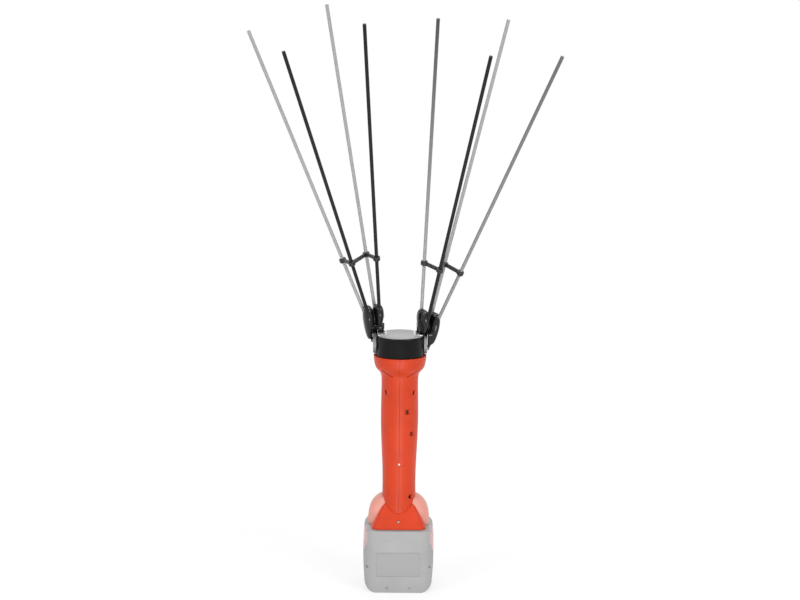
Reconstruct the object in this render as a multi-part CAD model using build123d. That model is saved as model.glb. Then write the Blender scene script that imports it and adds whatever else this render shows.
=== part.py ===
from build123d import *
import math
import os

# Electric olive harvester with two rocking four-rod hands and a clip-on battery pack.
# Millimetres, +Z up the tool, +X to the right and +Y away from the palm side.
# The origin is the middle of the battery pack's flat underside.

# Battery pack
PACK_W = 80.0
PACK_D = 74.0
PACK_H = 72.0
PACK_CORNER = 17.0
PACK_WALL = 2.4
LID_H = 10.0
CELL_R = 9.1
CELL_LEN = 65.0
CELL_GAP = 0.3
CELL_ROWS = (3, 2, 3, 2)
STEM_W = 24.0
STEM_D = 20.0
STEM_H = 22.5
BUTTON_H = 21.0
BUTTON_Z = 59.0

# Dock dome, as (height, half width, half depth, shift back) sections
DOME = [
    (72.4, 35.5, 22.0, 8.0), (87.0, 34.0, 20.5, 7.5), (94.0, 31.7, 19.0, 7.0),
    (101.0, 27.0, 16.5, 6.0), (106.0, 19.8, 13.0, 4.5),
]
PLUG_TOP = 101.0

# Foot cover, as (height, half width, side depth, front half width, front depth) sections
TONGUE = [(72.4, 31.0, 26.0, 25.8, 31.5), (99.0, 16.9, 9.0, 14.6, 12.0)]

# Handle and neck, as (radius, height) points of the turned grip and of the flare above it
GRIP = [
    (19.4, 84.0), (19.1, 104.0), (18.9, 125.0), (20.1, 160.0), (21.3, 200.0), (20.8, 236.0), (21.4, 247.0),
]
FLARE = [(21.4, 247.0), (23.2, 250.8), (27.2, 255.4), (29.2, 262.0), (30.0, 269.5)]
SHELL_WALL = 2.3
SCREW_PLACES = [(9.8, -12.9, 107.0), (11.4, -14.9, 181.0), (6.4, -18.9, 207.0), (10.8, 23.4, 256.0)]
POCKET_R = 2.8
SCREW_R = 1.3

# Head: drum, crank and gears
HEAD_R = 28.0
HEAD_FLAT = 26.0
HEAD_BOTTOM = 270.0
HEAD_TOP = 294.0
CAP_T = 1.5
HEAD_WALL = 2.2
PLATE_T = 1.2
CRANK_Z = 283.0
THROW = 4.4
DISC_R = 11.0
DISC_IN = 26.9
DISC_OUT = 30.7
STUB_R = 3.5
PIN_R = 2.5
RUN_GAP = 0.05
SWING_CENTRE = 18.0

# Planetary stage and bevel pair
SPUR_MODULE = 0.7
SUN_TEETH = 12
PLANET_TEETH = 15
RING_TEETH = 42
BEVEL_MODULE = 0.72
PINION_TEETH = 12
GEAR_TEETH = 24
BEVEL_FACE = 3.4
STAGE_Z = 236.0

# Motor
MOTOR_R = 17.0
MOTOR_BOTTOM = 186.0
MOTOR_TOP = 232.0

# Hands and rods
MOUTH_X = 34.35
MOUTH_Y = -10.0
MOUTH_RISE = 41.85
HAND_TILT = 12.0
HAND_LEAN = 15.4
HAND_YAW = {-1: 24.8, 1: 31.8}
SOCKET_PITCH = 7.8
SOCKET_DROPS = (9.0, 0.0, 3.0, 10.5)
LOBE = [(0.0, 4.4, 1.0), (3.5, 5.6, 1.0), (10.0, 6.3, 0.95), (17.0, 6.1, 0.86), (26.0, 5.0, 0.7), (35.0, 3.6, 0.5)]
SPLAY_SIDE = 6.7
SPLAY_FRONT = 7.6
LEG_IN = 31.1
LEG_OUT = 33.4
LEG_SLOPE = 0.41
ROD_R = 2.0
ROD_FREE = 338.0
ROD_SEAT = 17.5
EYE_RISES = (56.8, 64.0, 58.4, 53.8)
EYE_R = 4.0
EYE_H = 5.4
LINK_H = 4.4
LINK_T = 2.2
LINK_HOLE_R = 1.25

# Trigger
TRIGGER_PIVOT = (17.5, 181.0)
TRIGGER_HALF = 6.2


def solids_of(shape):
    """The solids of a shape as one flat list."""
    return list(shape.solids())


def save(name, *pieces):
    """Writes the pieces as one named node."""
    bodies = []
    for piece in pieces:
        bodies.extend(solids_of(piece))
    shape = bodies[0] if len(bodies) == 1 else Compound(children=bodies)
    shape.label = name
    export_step(shape, "parts/" + name + ".step")


def block(low, high):
    """A box between two corners."""
    size = [b - a for a, b in zip(low, high)]
    centre = [(a + b) / 2 for a, b in zip(low, high)]
    return Pos(*centre) * Box(*size)


def rod_x(radius, x_from, x_to, y=0.0, z=0.0):
    """A cylinder along X."""
    length = abs(x_to - x_from)
    return Pos((x_from + x_to) / 2, y, z) * Rot(0, 90, 0) * Cylinder(radius, length)


def rod_y(radius, y_from, y_to, x=0.0, z=0.0):
    """A cylinder along Y."""
    return Pos(x, (y_from + y_to) / 2, z) * Rot(90, 0, 0) * Cylinder(radius, abs(y_to - y_from))


def rod_z(radius, z_from, z_to, x=0.0, y=0.0):
    """A cylinder along Z."""
    return Pos(x, y, (z_from + z_to) / 2) * Cylinder(radius, z_to - z_from)


def turned(points):
    """A solid turned about Z from a closed outline of (radius, height) points."""
    outline = [(r, 0, z) for r, z in points]
    return revolve(make_face(Polyline(*outline, close=True)), Axis.Z)


def handle_solid(inset=0.0):
    """The grip and the flared neck as one turned solid, smaller all round by the inset."""
    grip = Spline(*[(r - inset, 0, z) for r, z in GRIP], tangents=[(-0.05, 0, 1), (0.2, 0, 1)])
    flare = Spline(*[(r - inset, 0, z) for r, z in FLARE], tangents=[(0.2, 0, 1), (0.05, 0, 1)])
    top = FLARE[-1][1]
    bottom = GRIP[0][1]
    ends = Polyline(flare @ 1, (0, 0, top), (0, 0, bottom), grip @ 0)
    return revolve(make_face(grip + flare + ends), Axis.Z)


def soft_box_loft(sections, corner_share=0.8):
    """A smooth loft through rounded rectangles given as (height, half width, half depth, shift back)."""
    faces = []
    for z, w, d, back in sections:
        section = Pos(0, back) * RectangleRounded(2 * w, 2 * d, corner_share * min(w, d))
        faces.append(Plane.XY.offset(z) * section)
    return loft(faces)


def tooth_flank(teeth, module, thinning, addendum=0.8, dedendum=1.05, pressure=25.0, steps=3):
    """Half the outline of one tooth, from root to tip, as (radius, half angle) pairs on an involute."""
    pitch_r = teeth * module / 2
    base_r = pitch_r * math.cos(math.radians(pressure))
    root_r = pitch_r - dedendum * module
    tip_r = pitch_r + addendum * module

    def involute(angle):
        return math.tan(angle) - angle

    half_pitch = math.pi / (2 * teeth) - thinning / pitch_r
    start = max(base_r, root_r)
    flank = []
    if root_r < base_r:
        flank.append((root_r, half_pitch + involute(math.radians(pressure))))
    for i in range(steps + 1):
        r = start + (tip_r - start) * i / steps
        roll = math.acos(min(1.0, base_r / r))
        flank.append((r, half_pitch + involute(math.radians(pressure)) - involute(roll)))
    return flank


def spur_outline(teeth, module, thinning, phase=0.0, grow=0.0):
    """The face of a spur gear with a tooth centred on the phase angle in degrees."""
    flank = tooth_flank(teeth, module, thinning)
    points = []
    for i in range(teeth):
        middle = math.radians(phase) + 2 * math.pi * i / teeth
        for r, half in flank:
            angle = middle - half
            points.append(((r + grow) * math.cos(angle), (r + grow) * math.sin(angle)))
        for r, half in reversed(flank):
            angle = middle + half
            points.append(((r + grow) * math.cos(angle), (r + grow) * math.sin(angle)))
    return make_face(Polyline(*points, close=True))


def bevel_teeth(teeth, mate, module, face_width, thinning, first_angle):
    """The teeth of a straight bevel gear about Z, with the cone's apex at the origin."""
    cone = math.atan2(teeth, mate)
    pitch_r = teeth * module / 2
    slant = pitch_r / math.sin(cone)
    inner_share = (slant - face_width) / slant
    virtual_teeth = teeth / math.cos(cone)
    virtual_r = virtual_teeth * module / 2
    profile = []
    for r, half in tooth_flank(virtual_teeth, module, thinning, dedendum=1.25, steps=2):
        profile.append((r * math.sin(half), r * math.cos(half) - virtual_r))
    right = [(w, h) for w, h in profile]
    left = [(-w, h) for w, h in reversed(profile)]
    corners = right + left
    solids = []
    for i in range(teeth):
        turn = math.radians(first_angle) + 2 * math.pi * i / teeth
        radial = Vector(math.cos(turn), math.sin(turn), 0)
        along = Vector(-math.sin(turn), math.cos(turn), 0)
        pitch_point = radial * pitch_r + Vector(0, 0, -slant * math.cos(cone))
        outward = radial * math.cos(cone) + Vector(0, 0, math.sin(cone))
        outer = [pitch_point + along * w + outward * h for w, h in corners]
        inner = [p * inner_share for p in outer]
        ends = [Face(Wire.make_polygon(outer)), Face(Wire.make_polygon(inner))]
        solids.append(Solid.make_loft([ends[0].outer_wire(), ends[1].outer_wire()], ruled=True))
    return solids


def build_pack():
    """The battery pack: tub, lid with its stem, cells, holders, contacts, screws and release buttons."""
    side_x = PACK_W / 2
    outline = make_face(
        Polyline((-25, 0), (25, 0)) +
        ThreePointArc((25, 0), (34.6, 3.8), (38.4, 13.0)) +
        Spline((38.4, 13.0), (side_x, 40.0), (side_x - 0.6, 63.0)) +
        ThreePointArc((side_x - 0.6, 63.0), (side_x - 2.0, 69.4), (34.0, PACK_H)) +
        Polyline((34.0, PACK_H), (-34.0, PACK_H)) +
        ThreePointArc((-34.0, PACK_H), (-side_x + 2.0, 69.4), (-side_x + 0.6, 63.0)) +
        Spline((-side_x + 0.6, 63.0), (-side_x, 40.0), (-38.4, 13.0)) +
        ThreePointArc((-38.4, 13.0), (-34.6, 3.8), (-25, 0))
    )
    front = extrude(Plane.XZ * outline, PACK_D / 2, both=True)
    plan = extrude(RectangleRounded(PACK_W + 1, PACK_D, PACK_CORNER), PACK_H)
    outer = front & plan
    inner = scale(outline, by=(0.955, 0.93, 1))
    hollow_front = extrude(Plane.XZ * inner, PACK_D / 2 - PACK_WALL, both=True)
    hollow = Pos(0, 0, PACK_WALL) * (hollow_front & extrude(
        RectangleRounded(PACK_W - 2 * PACK_WALL, PACK_D - 2 * PACK_WALL, PACK_CORNER - PACK_WALL), PACK_H))
    split = PACK_H - LID_H
    below = block((-60, -60, -1), (60, 60, split))
    above = block((-60, -60, split), (60, 60, PACK_H + 1))

    case = (outer & below) - hollow
    panel = extrude(Plane.XZ.offset(PACK_D / 2 - 0.7) * (Pos(0, 33) * RectangleRounded(50, 28, 3)), 2)
    case = case - panel
    for x, depth, z in [(-35.4, 6.9, 29.5), (35.4, 6.9, 29.5), (-12.8, 1.0, 5.5), (12.8, 1.0, 5.5)]:
        case = case - rod_y(1.5, -PACK_D / 2 - 4, -PACK_D / 2 + depth, x, z)

    button_y = (-29.0, -5.0)
    for side in (-1, 1):
        low_x, high_x = sorted((side * 29.5, side * 50))
        pocket = block((low_x, button_y[0] - 0.4, BUTTON_Z - BUTTON_H / 2 - 0.4),
                       (high_x, button_y[1] + 0.4, BUTTON_Z + BUTTON_H / 2 + 0.4))
        case = case - pocket
        above = above - pocket

    lid = (outer & above) - hollow
    stem_foot = Plane.XY.offset(PACK_H - PACK_WALL) * RectangleRounded(STEM_W, STEM_D, 4)
    stem = extrude(stem_foot, STEM_H + PACK_WALL)
    stem = chamfer(stem.faces().sort_by(Axis.Z)[-1].edges(), 1.2)
    lid = lid + stem
    for x in (-9, 9):
        lid = lid - block((x - 1.0, -6, PACK_H + STEM_H - 10), (x + 1.0, 6, PACK_H + STEM_H + 1))
    save("battery_case", case)
    save("battery_lid", lid)

    cells = []
    row_rise = (CELL_R + CELL_GAP / 2) * math.sqrt(3)
    first = PACK_WALL + CELL_R + CELL_GAP
    for row, count in enumerate(CELL_ROWS):
        for i in range(count):
            x = (i - (count - 1) / 2) * (2 * CELL_R + CELL_GAP)
            cells.append(rod_y(CELL_R, -CELL_LEN / 2, CELL_LEN / 2, x, first + row * row_rise))
    save("battery_cells", *cells)

    holders = []
    for side in (-1, 1):
        y_low, y_high = sorted((side * 24.0, side * 29.0))
        comb = block((-28.0, y_low, first - 5), (28.0, y_high, first + 3 * row_rise + 5))
        for cell in cells:
            comb = comb - cell
        holders.append(comb)
    web = [s for h in holders for s in solids_of(h) if s.volume > 30]
    save("cell_holders", *web)

    blades = []
    for x in (-9, 9):
        for side in (-1, 1):
            x_low, x_high = sorted((x + side * 1.0, x + side * 0.75))
            blades.append(block((x_low, -5, PACK_H + STEM_H - 9), (x_high, 5, PACK_H + STEM_H - 1.5)))
    save("battery_contacts", *blades)

    for side, name in ((-1, "left"), (1, "right")):
        low_x, high_x = sorted((side * 33.5, side * 50))
        zone = block((low_x, button_y[0], BUTTON_Z - BUTTON_H / 2),
                     (high_x, button_y[1], BUTTON_Z + BUTTON_H / 2))
        cap = (Pos(side * 0.3, 0, 0) * outer) & zone
        grips = []
        for i in range(3):
            z = BUTTON_Z - 5 + 5 * i
            grips.append(block((min(side * 39.6, side * 42), button_y[0] + 4, z - 0.7),
                               (max(side * 39.6, side * 42), button_y[1] - 3, z + 0.7)))
        for grip in grips:
            cap = cap - grip
        save("pack_button_" + name, cap)


def build_dock():
    """The dome over the pack with its plug in the handle, the foot cover and the contact blades."""
    handle = handle_solid()
    cavity = block((-STEM_W / 2 - 0.5, -STEM_D / 2 - 0.5, 60), (STEM_W / 2 + 0.5, STEM_D / 2 + 0.5, 95.0))
    outlines = []
    for z, wide, side_y, front_x, front_y in TONGUE:
        outlines.append(Plane.XY.offset(z) * Polygon(
            (-wide, -7), (wide, -7), (wide, -side_y), (front_x, -front_y), (-front_x, -front_y),
            (-wide, -side_y), align=None))
    tongue = loft(outlines) - handle - cavity
    tongue = tongue - rod_y(1.2, -34, -21.5, 0, 80.3)
    tongue = solids_of(tongue)
    tongue.sort(key=lambda s: -s.volume)
    dome = soft_box_loft(DOME) - handle - tongue[0]
    dome = solids_of(dome)
    dome.sort(key=lambda s: -s.volume)
    plug = handle_solid(SHELL_WALL + 0.15) & block((-40, -40, GRIP[0][1]), (40, 40, PLUG_TOP))
    body = dome[0] + plug - cavity
    blades = []
    for x in (-9, 9):
        blade = block((x - 0.6, -4, PACK_H + STEM_H - 9), (x + 0.6, 4, 104))
        blades.append(blade)
        body = body - blade
    save("battery_dock", body)
    save("foot_cover", tongue[0])
    save("dock_contacts", *blades)


def build_shells():
    """The two halves of the handle and neck, with their screws, seam lamp and screw bosses."""
    outer = handle_solid()
    skin = handle_solid(0.9)
    seam = block((-0.2, -40, 80), (0.2, 40, 280)) & (outer - handle_solid(0.5))
    wall = outer - handle_solid(SHELL_WALL)
    seat = rod_z(27.4, 262.0, 272.0)
    wall = wall - seat
    motor_room = rod_z(MOTOR_R + 0.3, 150, STAGE_Z)

    bosses = []
    pockets = []
    shanks = []
    screws = []
    for x, y, z in SCREW_PLACES:
        bosses.append((rod_x(POCKET_R + 1.1, -9.0, x + 1.0, y, z) & outer) - motor_room)
        pockets.append(rod_x(POCKET_R, x, 40, y, z))
        shanks.append(rod_x(SCREW_R, -6.5, x + 1.0, y, z))
        head = rod_x(2.2, x, x + 1.6, y, z)
        drive = Pos(x + 1.6, y, z) * Rot(0, 90, 0) * extrude(RegularPolygon(1.1, 6), 0.9, both=True)
        screws.append(head - drive + rod_x(SCREW_R, -6.5, x + 0.1, y, z))
    for boss in bosses:
        wall = wall + boss

    crease = []
    for side in (-1, 1):
        slab = Pos(side * 14.0, -25, 251.2) * Rot(0, -side * 30, 0) * Box(14.0, 30, 1.2)
        crease.append(slab & (outer - skin))
    vents = []
    for side in (-1, 1):
        vents.append(Pos(side * 15.6, -16, 228.5) * Rot(0, side * 12, 0) * Box(1.4, 14, 5.0))
    cuts = pockets + shanks + crease + vents + [seam]
    cuts.append(rod_y(1.2, -30, -10, 0, 146.0))
    cuts.append(rod_x(1.5, -10.2, 10.2, *TRIGGER_PIVOT))
    cuts.append(block((-TRIGGER_HALF - 0.5, 8, 146.0), (TRIGGER_HALF + 0.5, 40, 185.5)))
    cuts.append(block((-2.9, 10, 188.5), (2.9, 40, 203.5)))
    for cut in cuts:
        wall = wall - cut
    for name, low, high in (("left_shell", -60, 0), ("right_shell", 0, 60)):
        half = wall & block((low, -60, 80), (high, 60, 280))
        parts = solids_of(half)
        parts.sort(key=lambda s: -s.volume)
        save(name, parts[0])
    save("shell_screws", *screws)
    lamp = rod_y(1.15, -19.4, -16.0, 0, 146.0) + Pos(0, -19.4, 146.0) * Sphere(1.15)
    save("indicator_lamp", lamp)


def drum_outline(radius, flat):
    """A circle with its two sides cut flat."""
    return Circle(radius) & Rectangle(2 * flat, 2 * radius + 2)


def build_head():
    """The drum, its lid, the guide plates and posts, and the bearings."""
    cap_low = HEAD_TOP - CAP_T
    drum = extrude(Plane.XY.offset(HEAD_BOTTOM) * drum_outline(HEAD_R, HEAD_FLAT), cap_low - HEAD_BOTTOM)
    spigot = rod_z(27.3, 262.2, HEAD_BOTTOM)
    drum = drum + spigot
    room = extrude(Plane.XY.offset(269.0) * drum_outline(HEAD_R - HEAD_WALL, HEAD_FLAT - HEAD_WALL), 40)
    drum = drum - room - rod_z(24.0, 260, 266.0) - rod_z(9.0, 260, 275)
    for side in (-1, 1):
        boss = rod_x(9.0, side * 20.2, side * 25.0, 0, CRANK_Z)
        boss = boss & block((-26, -9, 269), (26, 9, CRANK_Z + 9))
        drum = drum + boss
        drum = drum - rod_x(7.0, side * 20.0, side * 25.4, 0, CRANK_Z)
        drum = drum - rod_x(4.6, side * 25.0, side * 27.0, 0, CRANK_Z)
        notch_x = sorted((side * 17.4, side * 27.0))
        drum = drum - block((notch_x[0], -11.2, CRANK_Z + 7.2), (notch_x[1], 11.2, 300))
        guard = rod_x(15.4, side * 25.9, side * 30.7, 0, CRANK_Z)
        guard = guard - rod_x(12.9, side * 25.0, side * 31.5, 0, CRANK_Z)
        guard = guard & block((-40, 6.5, 270.2), (40, 40, CRANK_Z))
        tail_x = sorted((side * 25.9, side * 30.7))
        guard = guard + block((tail_x[0], 12.9, CRANK_Z), (tail_x[1], 15.4, 302.0))
        wing_x = sorted((side * 25.9, side * 32.4))
        guard = guard + block((wing_x[0], 12.9, 291.0), (wing_x[1], 15.4, 302.0))
        root_x = sorted((side * 22.5, side * 26.4))
        guard = guard + block((root_x[0], 12.9, 274.0), (root_x[1], 15.4, 290.0))
        drum = drum + guard
    rim = drum.edges().filter_by(GeomType.CIRCLE).group_by(Axis.Z)[-1]
    rim = [e for e in rim if abs(e.radius - HEAD_R) < 0.01]
    drum = fillet(rim, 1.2)
    cap = extrude(Plane.XY.offset(cap_low) * drum_outline(HEAD_R - 0.9, HEAD_FLAT - 0.2), CAP_T)
    for side in (-1, 1):
        notch_x = sorted((side * 17.4, side * 27.0))
        cap = cap - block((notch_x[0], -11.2, 290), (notch_x[1], 11.2, 300))
    for x in (-3.4, 0.0, 3.4):
        cap = cap - rod_z(0.8, HEAD_TOP - 1.0, 300, x, 24.4)
    dome_edges = [e for e in cap.edges().filter_by(GeomType.CIRCLE).group_by(Axis.Z)[-1] if e.radius > 20]
    cap = chamfer(dome_edges, 0.7)

    screws = []
    plates = []
    posts = []
    plate_top = HEAD_TOP + PLATE_T
    for side in (-1, 1):
        low, high = sorted((side * 15.2, side * 25.7))
        plate = block((low, -13.6, HEAD_TOP), (high, 13.6, plate_top))
        slot_low, slot_high = sorted((side * 17.4, side * 27.0))
        for y_low, y_high in ((-11.2, -2.6), (2.6, 11.2)):
            plate = plate - block((slot_low, y_low, 290), (slot_high, y_high, 300))
        post_low, post_high = sorted((side * 18.6, side * 25.6))
        plate = plate - block((post_low, -1.5, 290), (post_high, 1.5, 300))
        corners = plate.edges().filter_by(Axis.Z).sort_by(lambda e: -abs(e.center().Y))[0:4]
        plate = fillet(corners, 1.2)
        foot_low, foot_high = sorted((side * 17.4, side * 25.9))
        post = block((post_low, -1.5, HEAD_TOP - 3.0), (post_high, 1.5, CRANK_Z + SWING_CENTRE))
        post = post + rod_x(3.0, post_low, post_high, 0, CRANK_Z + SWING_CENTRE)
        post = post + block((foot_low, -2.5, CRANK_Z + 7.2), (foot_high, 2.5, HEAD_TOP))
        posts.append(post)
        for y in (-12.2, 12.2):
            screw = rod_z(1.1, HEAD_TOP - 1.3, plate_top + 0.1, side * 20.5, y)
            head = rod_z(1.9, plate_top, plate_top + 1.1, side * 20.5, y)
            head = chamfer(head.edges().group_by(Axis.Z)[-1], 0.5)
            plate = plate - screw
            cap = cap - screw
            screws.append(screw + head)
        plates.append(plate)
    save("guide_plates", *plates)
    save("guide_posts", *posts)
    save("plate_screws", *screws)
    save("head_case", drum)
    save("head_cap", cap)


def build_crank():
    """The crank: tube, two discs with stub journals, pin bushes and the bevel gear, all turning about X."""
    tube = rod_x(4.5, -18.0, 18.0, 0, CRANK_Z) - rod_x(STUB_R, -19.0, 19.0, 0, CRANK_Z)
    save("crankshaft", tube)
    bearings = []
    for side in (-1, 1):
        ring = rod_x(7.0, side * 20.4, side * 25.3, 0, CRANK_Z)
        bearings.append(ring - rod_x(STUB_R + RUN_GAP, side * 20, side * 26, 0, CRANK_Z))
    save("crank_bearings", *bearings)
    bushes = []
    for side, name in ((-1, "left"), (1, "right")):
        pin_z = CRANK_Z - side * THROW
        disc = rod_x(DISC_R, side * DISC_IN, side * DISC_OUT, 0, CRANK_Z)
        disc = chamfer(disc.edges().filter_by(GeomType.CIRCLE), 0.5)
        disc = disc + rod_x(STUB_R, side * 3.0, side * (DISC_IN + 0.1), 0, CRANK_Z)
        disc = disc - rod_x(3.6, side * 27.4, side * 31.0, 0, pin_z)
        for z in (-7.6, 7.6):
            disc = disc - rod_x(1.2, side * (DISC_OUT - 1.2), side * 31.5, z, CRANK_Z)
        save("crank_disc_" + name, disc)
        bush = rod_x(3.6, side * 28.3, side * DISC_OUT, 0, pin_z)
        bushes.append(bush - rod_x(PIN_R + RUN_GAP, side * 28.0, side * 31.0, 0, pin_z))
        pin = rod_x(PIN_R, side * 28.0, side * 32.3, 0, pin_z)
        pin = pin + rod_x(2.95, side * 27.6, side * 28.1, 0, pin_z)
        pin = pin + rod_x(3.3, side * 32.2, side * LEG_OUT, 0, pin_z)
        save("hand_pin_" + name, pin)
    save("disc_bushes", *bushes)

    pitch_r = GEAR_TEETH * BEVEL_MODULE / 2
    gap = PINION_TEETH * BEVEL_MODULE / 2
    teeth = bevel_teeth(GEAR_TEETH, PINION_TEETH, BEVEL_MODULE, BEVEL_FACE, 0.05, 0.0)
    share = 1 - BEVEL_FACE / math.hypot(pitch_r, gap)
    cone = math.atan2(GEAR_TEETH, PINION_TEETH)
    depth = 1.0 * BEVEL_MODULE
    root_r = pitch_r - depth * math.cos(cone)
    root_z = -gap - depth * math.sin(cone)
    blank = turned([(4.5, root_z * share), (root_r * share, root_z * share), (root_r, root_z),
                    (root_r, root_z - 1.4), (6.6, root_z - 2.4), (6.6, -12.5), (4.5, -12.5)])
    gear = blank
    for tooth in teeth:
        gear = gear + tooth
    gear = gear - rod_z(4.5, -20, 20)
    gear = Pos(0, 0, CRANK_Z) * Rot(0, -90, 0) * gear
    save("bevel_gear", gear)


def build_drive():
    """The motor, the planetary stage and the bevel pinion, all on the tool's axis."""
    ring_space = spur_outline(RING_TEETH, SPUR_MODULE, -0.05, grow=0.12)
    ring_cut = extrude(Plane.XY.offset(STAGE_Z - 1) * ring_space, 12)
    ring = rod_z(18.0, STAGE_Z, STAGE_Z + 10) - ring_cut
    save("ring_gear", ring)
    sun = extrude(Plane.XY.offset(STAGE_Z + 1) * spur_outline(SUN_TEETH, SPUR_MODULE, 0.05), 7.4)
    sun = sun - rod_z(1.6, 230, 250)
    save("sun_gear", sun)
    reach = (SUN_TEETH + PLANET_TEETH) * SPUR_MODULE / 2
    planet = extrude(Plane.XY.offset(STAGE_Z + 1.2) * spur_outline(PLANET_TEETH, SPUR_MODULE, 0.05), 7.2)
    planet = planet - rod_z(1.5 + RUN_GAP, 230, 250)
    for i in range(3):
        save("planet_gear_" + str(i + 1), Rot(0, 0, 120 * i) * (Pos(reach, 0, 0) * planet))
    carrier = rod_z(13.4, STAGE_Z + 8.8, STAGE_Z + 11.6) + rod_z(6.0, STAGE_Z + 11.6, STAGE_Z + 16)
    for i in range(3):
        angle = math.radians(120 * i)
        x, y = reach * math.cos(angle), reach * math.sin(angle)
        carrier = carrier + rod_z(1.5, STAGE_Z + 1.0, STAGE_Z + 9, x, y)
        carrier = carrier - rod_z(2.6, STAGE_Z + 8, STAGE_Z + 12, -x, -y)
    carrier = carrier - rod_z(3.0, STAGE_Z + 10.2, 270)
    save("planet_carrier", carrier)

    pitch_r = PINION_TEETH * BEVEL_MODULE / 2
    gap = GEAR_TEETH * BEVEL_MODULE / 2
    share = 1 - BEVEL_FACE / math.hypot(pitch_r, gap)
    cone = math.atan2(PINION_TEETH, GEAR_TEETH)
    depth = 1.0 * BEVEL_MODULE
    root_r = pitch_r - depth * math.cos(cone)
    root_z = -gap - depth * math.sin(cone)
    blank = turned([(0, root_z * share), (root_r * share, root_z * share), (root_r, root_z),
                    (3.9, root_z - 0.2), (3.9, 271.0 - CRANK_Z), (3.0, 271.0 - CRANK_Z),
                    (3.0, STAGE_Z + 10.2 - CRANK_Z), (0, STAGE_Z + 10.2 - CRANK_Z)])
    pinion = blank
    first_angle = 180.0 / PINION_TEETH
    for tooth in bevel_teeth(PINION_TEETH, GEAR_TEETH, BEVEL_MODULE, BEVEL_FACE, 0.05, first_angle):
        pinion = pinion + tooth
    pinion = pinion - rod_z(20, -4.9, 20)
    save("bevel_pinion", Pos(0, 0, CRANK_Z) * pinion)

    cover = turned([
        (18.0, 246.0), (18.0, 248.0), (14.5, 253.5), (10.5, 254.5), (10.5, 259.0), (20.0, 261.0),
        (23.6, 262.5), (23.6, 266.0), (6.0, 266.0), (6.0, 254.6), (14.0, 252.4), (15.6, 246.0),
    ])
    save("gearbox_cover", cover)
    bearing = rod_z(6.0, 255.2, 266.0) - rod_z(3.0 + RUN_GAP, 250, 270)
    save("pinion_bearing", bearing)

    can = turned([
        (0, MOTOR_BOTTOM), (MOTOR_R, MOTOR_BOTTOM), (MOTOR_R, MOTOR_TOP - 1.2), (MOTOR_R - 1.2, MOTOR_TOP),
        (8.5, MOTOR_TOP), (8.5, MOTOR_TOP + 2.6), (0, MOTOR_TOP + 2.6),
    ])
    can = can - rod_z(3.2, 180, 240)
    for i in range(4):
        can = can - Rot(0, 0, 45 + 90 * i) * block((MOTOR_R - 0.9, -4, 194), (MOTOR_R + 2, 4, 200))
    endcap = rod_z(13.4, 179.5, MOTOR_BOTTOM) - rod_z(3.2, 170, 190)
    for side in (-1, 1):
        endcap = endcap + block((side * 10 - 0.4, -3, 173.5), (side * 10 + 0.4, 3, 179.6))
    save("motor_endcap", endcap)
    shaft = rod_z(1.6, 181.0, STAGE_Z + 8.3) + rod_z(3.0, 188, 230)
    save("motor_shaft", shaft)
    mount = rod_z(18.0, 232.0, STAGE_Z) - rod_z(8.5, 230, 240)
    screws = []
    for x in (-11.8, 11.8):
        head = rod_z(2.6, STAGE_Z - 1.6, STAGE_Z, x, 0)
        screw = head + rod_z(1.5, STAGE_Z - 7.0, STAGE_Z - 1.5, x, 0)
        mount = mount - screw
        can = can - screw
        drive = Pos(x, 0, STAGE_Z) * extrude(RegularPolygon(1.3, 6), 1.0, both=True)
        screws.append(screw - drive)
    save("motor_can", can)
    save("motor_mount", mount)
    save("motor_screws", *screws)


def build_controls():
    """The trigger, its pin, the lock button, the switch, the control board and the leads."""
    pivot_y, pivot_z = TRIGGER_PIVOT
    blade = make_face(
        Polyline((pivot_y - 3.0, 184.2), (pivot_y + 6.4, 184.2)) +
        Spline((pivot_y + 6.4, 184.2), (28.4, 172.0), (27.6, 158.0), (29.4, 149.0)) +
        Polyline((29.4, 149.0), (27.0, 147.6), (19.6, 148.4), (18.8, 176.0), (pivot_y - 3.0, 177.8),
                 (pivot_y - 3.0, 184.2))
    )
    trigger = extrude(Plane.YZ * blade, TRIGGER_HALF, both=True)
    trigger = trigger - rod_x(1.55, -10, 10, pivot_y, pivot_z)
    front = [e for e in trigger.edges() if e.center().Y > 25.5]
    front = [e for e in front if abs(abs(e.center().X) - TRIGGER_HALF) < 0.1]
    trigger = fillet(front, 1.4)
    save("trigger", trigger)
    save("trigger_pin", rod_x(1.5, -10.0, 10.0, pivot_y, pivot_z))

    button = block((-4.6, 21.7, 189.5), (4.6, 23.5, 198.5))
    button = fillet(button.edges().filter_by(Axis.Y), 2.0)
    for z in (191.8, 194.0, 196.2):
        button = button - block((-3.6, 23.0, z - 0.45), (3.6, 24, z + 0.45))
    button = button + block((-2.5, 17.8, 190.0), (2.5, 21.8, 198.0))
    save("lock_button", button)

    switch = block((-8, -9, 150), (8, 9.5, 174)) + block((-2, 9.4, 160), (2, 15.6, 164))
    switch = switch + block((-3, -5, 146.5), (-2.2, -1, 150.1)) + block((2.2, -5, 146.5), (3, -1, 150.1))
    save("switch_body", switch)
    board = block((-9.8, -13.0, 112), (9.8, -11.4, 143))
    parts = [board]
    for x in (-6.6, 0.0, 6.6):
        parts.append(block((x - 2.4, -11.4, 128), (x + 2.4, -7.4, 139)))
    parts.append(rod_y(4.0, -11.4, -2.4, -5.0, 117.5))
    parts.append(rod_y(4.0, -11.4, -2.4, 5.0, 117.5))
    save("control_board", *parts)
    leads = []
    for side in (-1, 1):
        path = FilletPolyline((side * 9.0, 0, 104.0), (side * 9.0, 0, 112.0), (side * 5.5, 5.0, 126.0),
                              (side * 5.5, 1.0, 140.0), (side * 5.5, 1.0, 150.0), radius=5.0)
        start = Plane(origin=path @ 0, z_dir=path % 0)
        leads.append(sweep(start * Circle(1.1), path=path))
    save("power_leads", *leads)


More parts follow.
